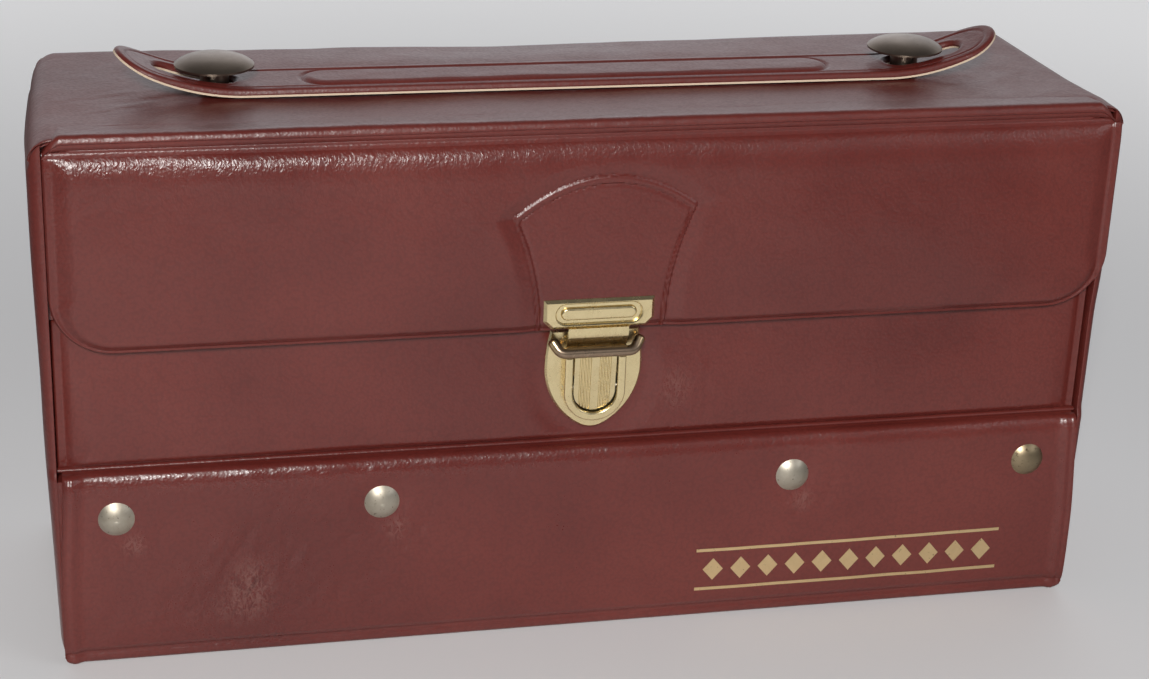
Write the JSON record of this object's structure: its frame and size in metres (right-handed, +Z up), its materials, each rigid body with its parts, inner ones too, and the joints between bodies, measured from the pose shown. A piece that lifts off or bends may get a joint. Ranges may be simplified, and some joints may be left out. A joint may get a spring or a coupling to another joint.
{
  "type": "cassette tape case",
  "caption": "Vinyl-covered box for standing boxed cassettes, with a front flap held by a rocking push lock, a drop-down front panel and a slotted strap handle on top.",
  "frame": {"origin": "centre of the box's underside, on the surface it stands on", "axes": "+X to the right along the front, +Y from the front to the back, +Z up"},
  "size_m": [0.284, 0.0898, 0.1579],
  "materials": {
    "vinyl": "grained oxblood vinyl leathercloth, semi-gloss, with welded edges",
    "strap_vinyl": "grained oxblood vinyl strap, semi-gloss",
    "strap_backing": "cream woven backing",
    "board": "grey pulp board",
    "foam": "soft foam padding",
    "lining": "flocked paper",
    "tray": "moulded, matt",
    "lock_brass": "pale brass plate, polished, slightly worn",
    "antique_brass": "dark antique brass, smooth",
    "worn_rod": "brass plate worn dark on a round rod",
    "nickel": "dull nickel plate",
    "brass": "tarnished brass plate",
    "steel": "plain zinc-plated"
  },
  "bodies": {
    "case": {"bottom_board": "board", "back_board": "board", "top_board": "board", "left_end_board": "board", "right_end_board": "board", "left_end_cover": "vinyl", "right_end_cover": "vinyl", "bottom_cover": "vinyl", "back_cover": "vinyl", "top_cover": "vinyl", "band_cover": "vinyl", "band_foam": "foam", "band_board": "board", "lining": "lining", "tray": "tray", "tray_dividers": "tray", "band_rivets": "nickel", "band_rivet_brass": "brass", "rivet_burrs": "steel", "handle_studs": "antique_brass", "stud_washers": "steel"},
    "flap": {"flap_cover": "vinyl", "lock_patch": "vinyl", "flap_board": "board", "flap_lining": "lining", "hasp_plate": "lock_brass", "hasp_tongue": "lock_brass", "hasp_backing": "steel", "hasp_rivets": "steel"},
    "drop_panel": {"drop_cover": "vinyl", "drop_board": "board", "drop_lining": "lining", "shield_plate": "lock_brass", "lock_frame": "lock_brass", "pivot_pin": "steel", "lock_backing": "steel", "lock_rivets": "steel", "lever_spring": "steel"},
    "lock_rocker": {"lever": "lock_brass", "stirrup": "worn_rod"},
    "handle_left": {"strap_left": "strap_vinyl", "backing_left": "strap_backing", "grip_left": "strap_vinyl"},
    "handle_right": {"strap_right": "strap_vinyl", "backing_right": "strap_backing", "grip_right": "strap_vinyl"}
  },
  "joints": [
    {"name": "flap_hinge", "type": "hinge", "parent": "case", "child": "flap", "pos_m": [0, -0.04155, 0.1429], "axis": [-1, 0, 0], "range_deg": [0, 180]},
    {"name": "drop_hinge", "type": "hinge", "parent": "case", "child": "drop_panel", "pos_m": [0, -0.03975, 0.0556], "axis": [1, 0, 0], "range_deg": [0, 90]},
    {"name": "lever_rock", "type": "hinge", "parent": "drop_panel", "child": "lock_rocker", "pos_m": [0, -0.04145, 0.072], "axis": [1, 0, 0], "range_deg": [0, 25], "stiffness_Nm_per_rad": 0.05, "springref_deg": -11.46, "deforming": ["lever_spring"]},
    {"name": "handle_lift", "type": "hinge", "parent": "case", "child": "handle_left", "pos_m": [-0.096, 0, 0.1467], "axis": [0, -1, 0], "range_deg": [0, 18]},
    {"name": "handle_fold", "type": "hinge", "parent": "handle_left", "child": "handle_right", "pos_m": [0, 0, 0.1457], "axis": [0, -1, 0], "range_deg": [-36, 0]}
  ],
  "couplings": [
    {"joint": "drop_hinge", "follows": "flap_hinge", "ratio": 0.5},
    {"joint": "handle_fold", "follows": "handle_lift", "ratio": -2}
  ]
}
